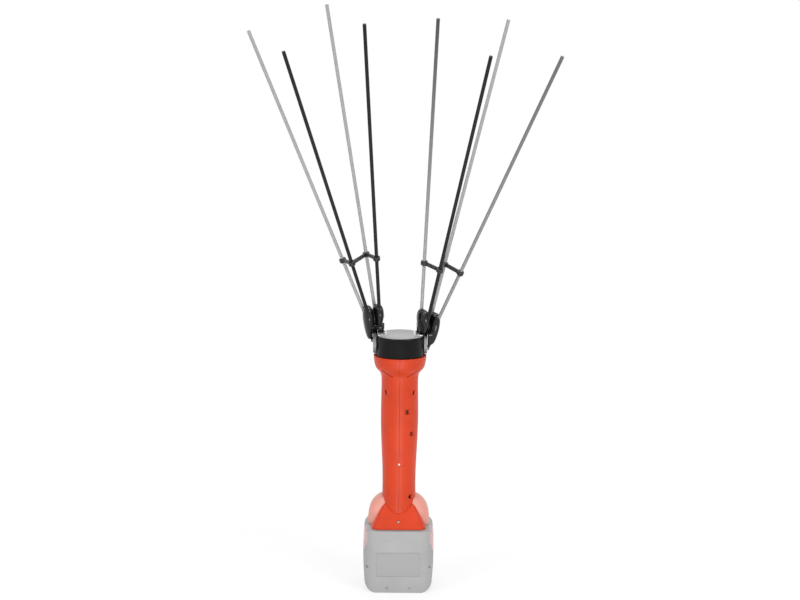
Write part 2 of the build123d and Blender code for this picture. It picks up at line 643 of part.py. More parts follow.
def spin(vector, axis, degrees):
    """A vector turned about X, Y or Z."""
    c = math.cos(math.radians(degrees))
    s = math.sin(math.radians(degrees))
    x, y, z = vector
    if axis == "X":
        return (x, y * c - z * s, y * s + z * c)
    if axis == "Y":
        return (x * c + z * s, y, -x * s + z * c)
    return (x * c - y * s, x * s + y * c, z)


def hand_vector(side, local):
    """A direction in a hand's own frame, as a vector of the tool's frame."""
    turned_about_z = spin(local, "Z", HAND_YAW[side])
    tilted = spin(turned_about_z, "Y", side * HAND_TILT)
    return Vector(*spin(tilted, "X", HAND_LEAN))


def hand_origin(side):
    """The middle of a hand's four socket mouths."""
    return Vector(side * MOUTH_X, MOUTH_Y, CRANK_Z + MOUTH_RISE - side * THROW)


def socket_planes(side):
    """The four socket mouths as planes whose Z runs out along the rod."""
    planes = []
    lean_x = math.tan(math.radians(SPLAY_SIDE))
    lean_y = math.tan(math.radians(SPLAY_FRONT))
    for a, b in ((-1, 1), (-1, -1), (1, -1), (1, 1)):
        base = hand_origin(side) + hand_vector(side, (a * SOCKET_PITCH, b * SOCKET_PITCH, 0))
        run = hand_vector(side, (a * lean_x, b * lean_y, 1))
        planes.append(Plane(origin=base, z_dir=run))
    return planes


def lobe_solid(back, back_drop, front, front_drop):
    """One moulded lobe that holds a back and a front rod: a loft through slots round both rods' axes."""
    mean = (back.z_dir + front.z_dir) * 0.5
    sections = []
    for depth, radius, pull in LOBE:
        a = back.origin - back.z_dir * (back_drop + depth)
        b = front.origin - front.z_dir * (front_drop + depth)
        along = (b - a) * pull
        square = mean - along * (mean.dot(along) / along.dot(along))
        plane = Plane(origin=(a + b) * 0.5, x_dir=along, z_dir=square)
        sections.append(plane * SlotCenterToCenter(along.length, 2 * radius))
    return loft(sections)


def build_hand(side, name):
    """One hand with its outer leg on the crank pin, its two guide prongs, four rods and their brace."""
    pin_z = CRANK_Z - side * THROW
    planes = socket_planes(side)
    palm_plane = Plane(origin=hand_origin(side), z_dir=hand_vector(side, (0, 0, 1)))
    hand = palm_plane * turned([
        (0, -7.0), (4.6, -9.0), (6.6, -14.0), (7.6, -20.0), (6.4, -27.0), (0, -27.0),
    ])
    for i, j in ((0, 1), (3, 2)):
        hand = hand + lobe_solid(planes[i], SOCKET_DROPS[i], planes[j], SOCKET_DROPS[j])
    keep = block((-70, -40, pin_z + 18.0), (70, 40, pin_z + 80))
    hand = hand & keep

    lower = Circle(4.3)
    upper = Pos(-2.4, 17.5) * Circle(8.6)
    leg_face = make_hull(lower.edges() + upper.edges())
    leg = extrude(Plane.YZ.offset(LEG_IN) * leg_face, 16)
    slope = math.degrees(math.atan(LEG_SLOPE))
    leg = leg - Pos(LEG_OUT, 0, 0) * Rot(0, slope, 0) * block((0, -20, -20), (30, 20, 60))
    web = extrude(Plane.XY.offset(17.2) * (Pos(26.6, -0.4) * RectangleRounded(17.2, 17.0, 4.0)), 11.0)
    prongs = extrude(Plane.XY.offset(12.4) * (Pos(22.1, 0) * RectangleRounded(8.2, 17.0, 2.0)), 12.0)
    foot = leg + web + prongs
    slot_top = SWING_CENTRE + THROW + 3.0 + 0.8
    slot = block((17.0, -4.6, 0), (26.6, 4.6, slot_top - 2.0))
    slot = slot + (rod_x(4.6, 17.0, 26.6, 0, slot_top - 4.6))
    if side < 0:
        foot = mirror(foot, about=Plane.YZ)
        slot = mirror(slot, about=Plane.YZ)
    place = Pos(0, 0, pin_z)
    hand = hand + place * foot
    hand = hand - place * slot
    for plane in planes:
        hand = hand - plane * rod_z(ROD_R, -ROD_SEAT, 5.0)
    hole = rod_x(PIN_R, side * 30.0, side * 32.3, 0, pin_z) + rod_x(3.3, side * 32.2, side * 40.0, 0, pin_z)
    hand = hand - hole
    parts = solids_of(hand)
    parts.sort(key=lambda s: -s.volume)
    save("hand_" + name, parts[0])

    for i, plane in enumerate(planes):
        rod = plane * rod_z(ROD_R, -ROD_SEAT, ROD_FREE)
        save("rod_" + name + "_" + str(i + 1), rod)

    centres = [plane.origin + plane.z_dir * rise for plane, rise in zip(planes, EYE_RISES)]
    up = hand_vector(side, (0, 0, 1))
    brace = None
    for plane, centre in zip(planes, centres):
        eye = Plane(origin=centre, z_dir=plane.z_dir) * fillet(Cylinder(EYE_R, EYE_H).edges(), 1.2)
        brace = eye if brace is None else brace + eye
    for i, j in ((0, 1), (1, 3), (3, 2)):
        a, b = centres[i], centres[j]
        run = b - a
        link_plane = Plane(origin=(a + b) * 0.5, x_dir=run, z_dir=run.cross(up))
        bar = link_plane * Box(run.length - 4.0, LINK_H, LINK_T)
        for share in (-0.5, 0.0, 0.5):
            bar = bar - link_plane * (Pos(share * (run.length - 13.0), 0, 0) * Cylinder(LINK_HOLE_R, 4.0))
        brace = brace + bar
    for plane in planes:
        brace = brace - plane * rod_z(ROD_R, 40, 80)
    save("brace_" + name, brace)


os.makedirs("parts", exist_ok=True)
build_pack()
build_dock()
build_shells()
build_head()
build_crank()
build_drive()
build_controls()
build_hand(-1, "left")
build_hand(1, "right")
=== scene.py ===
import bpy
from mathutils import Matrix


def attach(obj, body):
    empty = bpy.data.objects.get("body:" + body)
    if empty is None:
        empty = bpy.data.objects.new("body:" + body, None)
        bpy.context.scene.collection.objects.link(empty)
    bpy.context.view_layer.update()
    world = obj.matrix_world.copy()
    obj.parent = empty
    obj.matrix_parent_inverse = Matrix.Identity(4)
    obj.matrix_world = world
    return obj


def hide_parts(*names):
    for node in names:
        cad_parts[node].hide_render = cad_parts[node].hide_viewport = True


bl_info = {
    "name": "Olive harvester",
    "version": (1, 0, 0),
    "blender": (4, 5, 0),
    "location": "View3D > Sidebar > Harvester",
    "description": "Finishes, moulded hands and a plain studio for a battery olive harvester",
    "category": "Object",
}

import math

import bmesh
import bpy
from mathutils import Matrix, Vector

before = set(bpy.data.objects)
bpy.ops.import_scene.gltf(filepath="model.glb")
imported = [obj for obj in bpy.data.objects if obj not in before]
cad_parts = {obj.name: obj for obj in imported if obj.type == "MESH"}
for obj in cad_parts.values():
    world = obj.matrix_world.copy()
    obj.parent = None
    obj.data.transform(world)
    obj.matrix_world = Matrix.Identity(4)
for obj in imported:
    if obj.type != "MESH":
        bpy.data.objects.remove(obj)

SHADE = {"subtype": "COLOR", "size": 3, "min": 0.0, "max": 1.0}


class Signal:
    """A shader socket that can stand in a sum, a product or a comparison."""

    def __init__(self, tree, socket):
        self.tree = tree
        self.socket = socket

    def joined(self, operation, first, second):
        """The output of a Math node on two values."""
        node = self.tree.nodes.new("ShaderNodeMath")
        node.operation = operation
        for place, value in enumerate((first, second)):
            if isinstance(value, Signal):
                self.tree.links.new(value.socket, node.inputs[place])
            else:
                node.inputs[place].default_value = value
        return Signal(self.tree, node.outputs[0])

    def __add__(self, other):
        return self.joined("ADD", self, other)

    def __radd__(self, other):
        return self.joined("ADD", other, self)

    def __sub__(self, other):
        return self.joined("SUBTRACT", self, other)

    def __rsub__(self, other):
        return self.joined("SUBTRACT", other, self)

    def __mul__(self, other):
        return self.joined("MULTIPLY", self, other)

    def __rmul__(self, other):
        return self.joined("MULTIPLY", other, self)

    def __truediv__(self, other):
        return self.joined("DIVIDE", self, other)

    def __pow__(self, other):
        return self.joined("POWER", self, other)

    def __gt__(self, other):
        return self.joined("GREATER_THAN", self, other)

    def __lt__(self, other):
        return self.joined("LESS_THAN", self, other)

    def __abs__(self):
        return self.joined("ABSOLUTE", self, 0.0)


class Finish:
    """A procedural material, built node by node on a Principled shader."""

    def __init__(self, name, **fixed):
        self.material = bpy.data.materials.new(name)
        self.material.use_nodes = True
        self.tree = self.material.node_tree
        self.tree.nodes.clear()
        self.shader = self.tree.nodes.new("ShaderNodeBsdfPrincipled")
        end = self.tree.nodes.new("ShaderNodeOutputMaterial")
        self.tree.links.new(self.shader.outputs[0], end.inputs["Surface"])
        for socket, value in fixed.items():
            self.shader.inputs[socket.replace("_", " ").title().replace("Ior", "IOR")].default_value = value
        place = self.tree.nodes.new("ShaderNodeTexCoord")
        self.place = Signal(self.tree, place.outputs["Object"])

    def node(self, kind, settings, sockets, output=0):
        """A node of that kind, its settings made first, with values or signals on its sockets."""
        node = self.tree.nodes.new(kind)
        for key, value in settings.items():
            if key == "stops":
                ramp = node.color_ramp.elements
                while len(ramp) < len(value):
                    ramp.new(0.5)
                for element, (position, colour) in zip(ramp, value):
                    element.position = position
                    element.color = colour
            else:
                setattr(node, key, value)
        for key, value in sockets.items():
            if isinstance(value, Signal):
                self.tree.links.new(value.socket, node.inputs[key])
            else:
                node.inputs[key].default_value = value
        return Signal(self.tree, node.outputs[output])

    def noise(self, scale, detail=3.0, stretch=(1.0, 1.0, 1.0), roughness=0.5):
        """Noise on the object's own coordinates, drawn out along an axis where stretch is under one."""
        where = self.node("ShaderNodeMapping", {}, {"Vector": self.place, "Scale": stretch})
        return self.node(
            "ShaderNodeTexNoise", {},
            {"Vector": where, "Scale": scale, "Detail": detail, "Roughness": roughness}, "Fac")

    def axis(self, name):
        """One coordinate of the surface point, in metres."""
        return self.node("ShaderNodeSeparateXYZ", {}, {"Vector": self.place}, name)

    def ramp(self, value, low, high, first=0.0, last=1.0):
        """The value spread from low..high to first..last, and held there outside."""
        return self.node(
            "ShaderNodeMapRange", {"clamp": True},
            {"Value": value, "From Min": low, "From Max": high, "To Min": first, "To Max": last})

    def blend(self, factor, one, other):
        """A colour mix of two colours or colour signals."""
        return self.node(
            "ShaderNodeMix", {"data_type": "RGBA"}, {0: factor, 6: one, 7: other}, 2)

    def wire(self, name, value):
        """Feeds a socket of the shader."""
        self.tree.links.new(value.socket, self.shader.inputs[name])

    def bump(self, height, distance, edge=0.0003):
        """Raises the surface by a height signal times a distance in metres, over edges rounded to a radius."""
        rounded = self.node("ShaderNodeBevel", {"samples": 4}, {"Radius": edge})
        normal = self.node(
            "ShaderNodeBump", {}, {"Height": height, "Distance": distance, "Normal": rounded})
        self.wire("Normal", normal)


def colour4(colour, share=1.0):
    """A colour with alpha, brightened or darkened by a share."""
    return (colour[0] * share, colour[1] * share, colour[2] * share, 1.0)


def moulded(name, colour, rough, grain=1900.0, depth=0.00004, shine=0.5, mottle=0.06, scuff=0.12, edge=0.0003):
    """Moulded plastic: faint cloudiness, a spark-eroded grain and a few dull scuffs."""
    finish = Finish(name, specular_ior_level=shine)
    cloud = finish.ramp(finish.noise(38.0, 4.0), 0.35, 0.65)
    finish.wire("Base Color", finish.blend(cloud, colour4(colour, 1.0 - mottle), colour4(colour, 1.0 + mottle)))
    pits = finish.noise(grain, 2.0)
    drag = finish.ramp(finish.noise(150.0, 5.0, (1.0, 1.0, 0.22), 0.62), 0.56, 0.72)
    finish.wire("Roughness", rough + scuff * drag + 0.05 * pits)
    finish.bump(pits - 0.3 * drag, depth, edge)
    return finish.material


def pack_skin(name, colour, blush, rough):
    """The pack's moulding: grained, a shade darker in its front panel and blushed where the buttons sit."""
    finish = Finish(name, specular_ior_level=0.35)
    side = abs(finish.axis("X"))
    depth = finish.axis("Y")
    height = finish.axis("Z")
    panel = finish.ramp(side, 0.0235, 0.0255, 1.0, 0.0) * (depth < -0.03)
    panel = panel * finish.ramp(abs(height - 0.033), 0.0125, 0.0145, 1.0, 0.0)
    wash = finish.ramp(side, 0.0345, 0.0375) * finish.ramp(abs(height - 0.0635), 0.006, 0.0085, 1.0, 0.0)
    wash = wash * finish.ramp(abs(depth + 0.017), 0.014, 0.018, 1.0, 0.0)
    cloud = finish.ramp(finish.noise(38.0, 4.0), 0.35, 0.65)
    skin = finish.blend(cloud, colour4(colour, 0.97), colour4(colour, 1.03))
    skin = finish.blend(panel, skin, colour4(colour, 0.95))
    finish.wire("Base Color", finish.blend(wash, skin, colour4(blush)))
    pits = finish.noise(1500.0, 2.0)
    drag = finish.ramp(finish.noise(150.0, 5.0, (1.0, 1.0, 0.22), 0.62), 0.56, 0.72)
    finish.wire("Roughness", rough + 0.12 * drag + 0.05 * pits)
    finish.bump(pits - 0.3 * drag, 0.00005, 0.0006)
    return finish.material


def machined(name, colour, rough, along="X", centre=(0.0, 0.0, 0.0), pitch=0.00035, metal=1.0):
    """Metal turned on a lathe: fine rings round an axis, with smudges."""
    finish = Finish(name, metallic=metal)
    mask = {"X": (0.0, 1.0, 1.0), "Y": (1.0, 0.0, 1.0), "Z": (1.0, 1.0, 0.0)}[along]
    moved = finish.node(
        "ShaderNodeVectorMath", {"operation": "SUBTRACT"}, {0: finish.place, 1: centre})
    flat = finish.node("ShaderNodeVectorMath", {"operation": "MULTIPLY"}, {0: moved, 1: mask})
    radius = finish.node("ShaderNodeVectorMath", {"operation": "LENGTH"}, {0: flat}, "Value")
    rings = finish.node(
        "ShaderNodeTexNoise", {"noise_dimensions": "1D"},
        {"W": radius / pitch, "Scale": 1.0, "Detail": 2.0}, "Fac")
    smudge = finish.ramp(finish.noise(120.0, 4.0), 0.42, 0.68)
    finish.wire("Base Color", finish.blend(smudge, colour4(colour), colour4(colour, 0.82)))
    finish.wire("Roughness", rough + 0.12 * smudge + 0.1 * rings)
    finish.bump(rings, 0.00002)
    return finish.material


def brushed(name, colour, rough, stretch=(1.0, 1.0, 0.04), grain=1400.0, metallic=1.0):
    """Metal with a grain drawn along one axis."""
    finish = Finish(name, metallic=metallic)
    hair = finish.noise(grain, 3.0, stretch)
    smudge = finish.ramp(finish.noise(60.0, 4.0), 0.4, 0.7)
    finish.wire("Base Color", finish.blend(hair, colour4(colour, 0.86), colour4(colour, 1.08)))
    finish.wire("Roughness", rough + 0.14 * smudge + 0.08 * hair)
    finish.bump(hair, 0.000015)
    return finish.material


def carbon(name, foot, tip, rough, shine=0.5):
    """Pulled carbon rod: fibres along the rod under clear resin, in a grey that runs from foot to tip; on the light
    rods that grey is painted reflection.
    """
    finish = Finish(name, specular_ior_level=shine)
    fibre = finish.noise(1500.0, 3.0, (1.0, 1.0, 0.02))
    band = finish.ramp(finish.noise(24.0, 3.0), 0.35, 0.65)
    # Grey from foot to tip: the rod's own dark tone on the dark rods, painted reflection on the others.
    along = finish.ramp(finish.axis("Z"), 0.36, 0.66)
    shade = finish.blend(along, colour4((foot, foot, foot)), colour4((tip, tip, tip)))
    fibred_tone_and_reflection = finish.blend(0.35 * fibre, shade, (0.0, 0.0, 0.0, 1.0))
    finish.wire("Base Color", fibred_tone_and_reflection)
    finish.wire("Roughness", rough + 0.1 * band)
    finish.bump(fibre, 0.00002, 0.0004)
    return finish.material


def sintered(name, colour):
    """Oil-soaked sintered bronze with open pores."""
    finish = Finish(name, metallic=1.0)
    pores = finish.ramp(finish.noise(3200.0, 3.0), 0.45, 0.6)
    tint = finish.noise(200.0, 3.0)
    finish.wire("Base Color", finish.blend(pores, colour4(colour, 0.6), colour4(colour)))
    finish.wire("Roughness", 0.36 + 0.18 * tint)
    finish.bump(pores, 0.00003)
    return finish.material


def cast(name, colour):
    """Die-cast alloy with a pebbled skin."""
    finish = Finish(name, metallic=0.9)
    skin = finish.noise(700.0, 4.0)
    flow = finish.noise(60.0, 4.0)
    finish.wire("Base Color", finish.blend(flow, colour4(colour, 0.85), colour4(colour, 1.1)))
    finish.wire("Roughness", 0.42 + 0.16 * skin)
    finish.bump(skin, 0.00006)
    return finish.material


def lacquered_board(name, colour):
    """A green board: weave under the lacquer and copper runs."""
    finish = Finish(name, coat_weight=0.4, coat_roughness=0.15)
    runs = finish.node(
        "ShaderNodeTexBrick", {"offset": 0.5},
        {"Vector": finish.place, "Scale": 260.0, "Mortar Size": 0.03, "Color1": (0, 0, 0, 1),
         "Color2": (0, 0, 0, 1), "Mortar": (1, 1, 1, 1)}, "Fac")
    weave = finish.noise(1800.0, 2.0, (1.0, 1.0, 0.2))
    base = finish.blend(weave, colour4(colour, 0.75), colour4(colour, 1.2))
    finish.wire("Base Color", finish.blend(runs, base, (0.25, 0.42, 0.2, 1.0)))
    finish.wire("Roughness", 0.34 + 0.2 * weave)
    return finish.material


def sleeve(name, colour):
    """Shrink sleeve on the cells, with a lighter band at each end."""
    finish = Finish(name)
    depth = abs(finish.axis("Y"))
    wrinkle = finish.noise(420.0, 3.0, (1.0, 0.15, 1.0))
    band = depth > 0.0312
    finish.wire("Base Color", finish.blend(band, colour4(colour), (0.72, 0.72, 0.70, 1.0)))
    finish.wire("Metallic", 0.9 * band)
    finish.wire("Roughness", 0.32 + 0.2 * wrinkle)
    finish.bump(wrinkle, 0.00003)
    return finish.material


def lens(name, colour):
    """A small milky lamp lens with a warm core."""
    finish = Finish(name, coat_weight=0.5, coat_roughness=0.04)
    core = finish.ramp(finish.noise(900.0, 2.0), 0.3, 0.7)
    finish.wire("Base Color", finish.blend(core, colour4(colour, 0.9), colour4(colour, 1.05)))
    finish.wire("Roughness", 0.18 + 0.1 * core)
    return finish.material


def satin_paint(name, colour, rough):
    """Stoved satin paint on a pressed lid: orange peel and a little dust in the film."""
    finish = Finish(name, specular_ior_level=0.4)
    peel = finish.noise(420.0, 3.0)
    specks = finish.ramp(finish.noise(2600.0, 2.0), 0.66, 0.74)
    cloud = finish.noise(45.0, 4.0)
    tint = finish.blend(cloud, colour4(colour, 0.95), colour4(colour, 1.05))
    finish.wire("Base Color", finish.blend(0.3 * specks, tint, colour4(colour, 0.6)))
    finish.wire("Roughness", rough + 0.1 * cloud)
    finish.bump(peel, 0.00002, 0.0004)
    return finish.material


PETAL_PROFILE = ((0.0, 0.0), (0.03, 0.25), (0.1, 0.46), (0.22, 0.66), (0.38, 0.84), (0.54, 0.96), (0.68, 1.0),
                 (0.8, 0.96), (0.9, 0.85), (0.96, 0.7), (0.99, 0.45), (1.0, 0.0))
PETALS = {
    "left": (
        ((-35.0, -4.0, 288.0), (-37.2, -12.5, 327.8), (-0.18, 0.92, -0.34), 6.0, 10.5),
        ((-23.9, -4.6, 301.8), (-25.9, -8.5, 328.8), (-0.31, 0.90, -0.33), 5.9, 10.5),
        ((-26.6, -1.0, 302.6), (-27.4, -2.4, 320.0), (0.0, 1.0, 0.0), 9.2, 8.8),
    ),
    "right": (
        ((24.4, -5.5, 293.6), (26.2, -14.0, 323.7), (-0.49, 0.84, -0.21), 5.9, 10.5),
        ((26.6, -1.0, 293.8), (27.4, -2.4, 311.2), (0.0, 1.0, 0.0), 9.2, 8.8),
        ((35.0, -3.5, 282.0), (39.0, -6.5, 320.0), (-0.55, 0.81, -0.18), 5.7, 9.8),
    ),
}
PALM_TOPS = {"left": 305.3, "right": 296.5}
POST_SLOTS = {
    "left": ((-26.8, -4.8, 280.0), (-16.8, 4.8, 314.0)),
    "right": ((16.8, -4.8, 271.0), (26.8, 4.8, 305.2)),
}


def petal(mesh, foot, tip, deep, half_width, half_depth):
    """Adds a closed teardrop to a mesh, from its foot to its tip, deepest along a direction; all in millimetres."""
    build = bmesh.new()
    chain = [build.verts.new((share, 0.0, rise)) for rise, share in PETAL_PROFILE]
    edges = [build.edges.new(pair) for pair in zip(chain, chain[1:])]
    bmesh.ops.spin(build, geom=chain + edges, axis=(0.0, 0.0, 1.0), cent=(0.0, 0.0, 0.0),
                   angle=2 * math.pi, steps=32, use_merge=True)
    bmesh.ops.remove_doubles(build, verts=build.verts, dist=0.00001)
    run = Vector(tip) - Vector(foot)
    across = run.cross(Vector(deep)).normalized()
    through = across.cross(run).normalized()
    shape = Matrix((across * half_width, through * half_depth, run)).transposed().to_4x4()
    place = Matrix.Scale(0.001, 4) @ Matrix.Translation(foot) @ shape
    bmesh.ops.transform(build, matrix=place, verts=build.verts)
    bmesh.ops.recalc_face_normals(build, faces=build.faces)
    build.from_mesh(mesh)
    build.to_mesh(mesh)
    build.free()


def skin_over(piece, voxel):
    """Adds a voxel skin of that size to a piece."""
    skin = piece.modifiers.new("skin", "REMESH")
    skin.mode = "VOXEL"
    skin.voxel_size = voxel
    skin.use_smooth_shade = True


def slot_cutter(low, high):
    """A block with a rounded top that stands for the room a guide post needs; in millimetres."""
    build = bmesh.new()
    bmesh.ops.create_cube(build, size=1.0)
    ridge = [edge for edge in build.edges if all(vert.co.z > 0 for vert in edge.verts)
             and abs(edge.verts[0].co.x - edge.verts[1].co.x) > 0.5]
    size = Vector(high) - Vector(low)
    place = Matrix.Translation(0.0005 * (Vector(low) + Vector(high))) @ Matrix.Diagonal(0.001 * size).to_4x4()
    bmesh.ops.transform(build, matrix=place, verts=build.verts)
    bmesh.ops.bevel(build, geom=ridge, offset=0.0038, segments=5, profile=0.5, affect="EDGES", material=-1)
    mesh = bpy.data.meshes.new("slot_cutter")
    build.to_mesh(mesh)
    build.free()
    cutter = bpy.data.objects.new("slot_cutter", mesh)
    bpy.context.scene.collection.objects.link(cutter)
    return cutter


def soft_casting(name, body, voxel, rounds, nodes, petals=(), top=None, slot=None):
    """A piece skinned over merged copies of CAD nodes, kept up to a height, and petals, with its creases softened."""
    build = bmesh.new()
    for node in nodes:
        build.from_mesh(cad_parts[node].data)
    bmesh.ops.remove_doubles(build, verts=build.verts, dist=0.000002)
    if top is not None:
        cut = bmesh.ops.bisect_plane(build, geom=build.verts[:] + build.edges[:] + build.faces[:], dist=0.000001,
                                     plane_co=(0.0, 0.0, 0.001 * top), plane_no=(0.0, 0.0, 1.0), clear_outer=True)
        rim = [part for part in cut["geom_cut"] if isinstance(part, bmesh.types.BMEdge)]
        bmesh.ops.triangle_fill(build, use_beauty=True, use_dissolve=False, edges=rim)
    mesh = bpy.data.meshes.new(name)
    build.to_mesh(mesh)
    build.free()
    mesh.materials.clear()
    for row in petals:
        petal(mesh, *row)
    piece = bpy.data.objects.new(name, mesh)
    bpy.context.scene.collection.objects.link(piece)
    skin_over(piece, voxel)
    if slot is not None:
        cutter = slot_cutter(*slot)
        carve = piece.modifiers.new("carve", "BOOLEAN")
        carve.operation = "DIFFERENCE"
        carve.solver = "EXACT"
        carve.object = cutter
        skin_over(piece, voxel)
        bpy.context.view_layer.update()
        carved = bpy.data.meshes.new_from_object(piece.evaluated_get(bpy.context.evaluated_depsgraph_get()))
        piece.modifiers.clear()
        piece.data = carved
        bpy.data.objects.remove(cutter)
        carved.name = name
    soften = piece.modifiers.new("soften", "SMOOTH")
    soften.factor = 0.5
    soften.iterations = rounds
    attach(piece, body)
    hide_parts(*nodes)
    return piece


def countersunk_screw(name, body, centre, radius, length):
    """A small countersunk screw with a round recess sunk in its head, that looks out along -Y, with its head at the
    centre; all in millimetres.
    """
    build = bmesh.new()
    bmesh.ops.create_cone(build, cap_ends=True, segments=32, radius1=0.62 * radius, radius2=radius, depth=length)
    head = max(build.faces, key=lambda face: face.calc_center_median().z)
    bmesh.ops.bevel(build, geom=list(head.edges), offset=0.12 * radius, segments=3, profile=0.5,
                    affect="EDGES", material=-1)
    head = max(build.faces, key=lambda face: face.calc_center_median().z)
    bmesh.ops.inset_region(build, faces=[head], thickness=0.4 * radius)
    bmesh.ops.translate(build, verts=head.verts, vec=(0.0, 0.0, -0.35 * radius))
    place = (Matrix.Scale(0.001, 4) @ Matrix.Translation(centre) @ Matrix.Rotation(math.pi / 2, 4, "X")
             @ Matrix.Translation((0.0, 0.0, -0.5 * length)))
    bmesh.ops.transform(build, matrix=place, verts=build.verts)
    bmesh.ops.recalc_face_normals(build, faces=build.faces)
    mesh = bpy.data.meshes.new(name)
    build.to_mesh(mesh)
    build.free()
    piece = bpy.data.objects.new(name, mesh)
    bpy.context.scene.collection.objects.link(piece)
    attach(piece, body)
    return piece


def dress(material, *nodes):
    """Gives CAD nodes one finish."""
    for name in nodes:
        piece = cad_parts[name]
        slots = piece.data.materials
        if len(slots) == 0:
            slots.append(material)
        for place in range(len(slots)):
            slots[place] = material


class HarvesterRods(bpy.types.PropertyGroup):
    """Finish of the rods and braces."""

    dark: bpy.props.FloatProperty(
        name="Dark rods", description="Grey of the dark rods", default=0.02, min=0.0, max=1.0, subtype="FACTOR")
    # Grey of the light rods: painted reflection on rods that are dark carbon.
    light: bpy.props.FloatProperty(
        name="Light rods", description="Grey of the light rods", default=0.44, min=0.0, max=1.0, subtype="FACTOR")
    brace: bpy.props.FloatVectorProperty(
        name="Braces", description="Colour of the moulded rod braces", default=(0.016, 0.016, 0.016), **SHADE)
    rough: bpy.props.FloatProperty(
        name="Rod roughness", description="How dull the rods' resin skin is", default=0.3, min=0.0, max=1.0, subtype="FACTOR")


class HarvesterHead(bpy.types.PropertyGroup):
    """Finish of the hands, the drum and the crank."""

    black: bpy.props.FloatVectorProperty(
        name="Gloss black", description="Colour of the hands and the drum", default=(0.005, 0.005, 0.0055), **SHADE)
    lid: bpy.props.FloatVectorProperty(
        name="Drum lid", description="Colour of the drum's lid", default=(0.34, 0.34, 0.34), **SHADE)
    # The crank discs take this steel darkened to 45 %, as painted shade.
    steel: bpy.props.FloatVectorProperty(
        name="Bright steel", description="Colour of the crank discs and plates", default=(0.62, 0.62, 0.62), **SHADE)


class HarvesterBody(bpy.types.PropertyGroup):
    """Finish of the handle, the dock and the battery pack."""

    orange: bpy.props.FloatVectorProperty(
        name="Handle", description="Colour of the handle shells and foot cover", default=(0.565, 0.038, 0.0025), **SHADE)
    salmon: bpy.props.FloatVectorProperty(
        name="Dock", description="Colour of the dock dome", default=(0.7, 0.3, 0.245), **SHADE)
    grey: bpy.props.FloatVectorProperty(
        name="Battery pack", description="Colour of the battery pack", default=(0.355, 0.355, 0.355), **SHADE)
    button: bpy.props.FloatVectorProperty(
        name="Pack buttons", description="Colour of the release buttons", default=(0.64, 0.44, 0.44), **SHADE)


class HarvesterStage(bpy.types.PropertyGroup):
    """Camera and light of the studio."""

    distance: bpy.props.FloatProperty(
        name="Camera distance", description="Distance from the tool's axis", default=2.452, unit="LENGTH")
    height: bpy.props.FloatProperty(
        name="Camera height", description="Height of the camera over the floor", default=0.762, unit="LENGTH")
    pitch: bpy.props.FloatProperty(
        name="Camera pitch", description="How far the camera looks down", default=math.radians(9.93), subtype="ANGLE")
    roll: bpy.props.FloatProperty(
        name="Camera roll", description="Turn of the camera about its own axis", default=math.radians(0.5), subtype="ANGLE")
    lens: bpy.props.FloatProperty(
        name="Lens", description="Focal length in millimetres", default=99.0)


class FinishRods(bpy.types.Operator):
    """Finishes the eight rods and the two braces"""

    bl_idname = "harvester.finish_rods"
    bl_label = "Rods and braces"

    def execute(self, context):
        look = context.scene.harvester_rods
        dress(carbon("rod_dark_resin", look.dark, look.dark, look.rough, 0.12), "rod_left_2", "rod_left_3", "rod_right_2")
        # Painted reflection: the light, fading and dimmed greys of these rods stand for softbox reflections on rods
        # that are all dark carbon.
        dress(carbon("rod_painted_reflection_resin", look.light, look.light, look.rough), "rod_left_1", "rod_left_4", "rod_right_4")
        dress(carbon("rod_painted_reflection_fading", look.light, 0.12 * look.light, look.rough), "rod_right_1")
        dress(carbon("rod_painted_reflection_dimmed", 0.7 * look.light, 0.3 * look.light, look.rough), "rod_right_3")
        matte = moulded("brace_matte", look.brace, 0.4, 2200.0, 0.00003, 0.4)
        for hand in ("left", "right"):
            links = soft_casting(f"brace_{hand}_links", f"{hand}_hand", 0.00036, 3, (f"brace_{hand}",))
            links.data.materials.append(matte)
        return {"FINISHED"}


class FinishHead(bpy.types.Operator):
    """Finishes the hands, the drum, the crank and its plates"""

    bl_idname = "harvester.finish_head"
    bl_label = "Head and hands"

    def execute(self, context):
        look = context.scene.harvester_head
        gloss = moulded("gloss_black", look.black, 0.1, 2600.0, 0.000004, 0.4, 0.2, 0.04)
        for hand, petals in PETALS.items():
            tulip = soft_casting(
                f"hand_{hand}_casting", f"{hand}_hand", 0.0005, 16, (f"hand_{hand}",), petals, PALM_TOPS[hand],
                POST_SLOTS[hand])
            tulip.data.materials.append(gloss)
        dress(moulded("drum_black", look.black, 0.16, 2200.0, 0.00001, 0.15, 0.2, 0.06, 0.0008), "head_case")
        dress(satin_paint("drum_lid_paint", look.lid, 0.36), "head_cap")
        steel = machined("turned_steel", look.steel, 0.3, "X", (0.0, 0.0, 0.283))
        dress(steel, "crankshaft", "hand_pin_left", "hand_pin_right")
        # Painted shade: the crank discs take the bright steel darkened to 45 %, for their faces seen edge-on.
        dress(machined("disc_steel_painted_shade", colour4(look.steel, 0.45)[:3], 0.5, "X", (0.0, 0.0, 0.283), 0.00035, 0.55),
              "crank_disc_left", "crank_disc_right")
        plate = brushed("rolled_plate", look.steel, 0.26, (0.05, 1.0, 1.0))
        dress(plate, "guide_plates")
        dress(brushed("blackened_steel", (0.03, 0.03, 0.032), 0.34), "guide_posts")
        dress(machined("screw_zinc", (0.42, 0.42, 0.43), 0.3, "Z"), "plate_screws", "motor_screws")
        dress(sintered("sintered_bronze", (0.52, 0.32, 0.13)), "crank_bearings", "disc_bushes", "pinion_bearing")
        return {"FINISHED"}


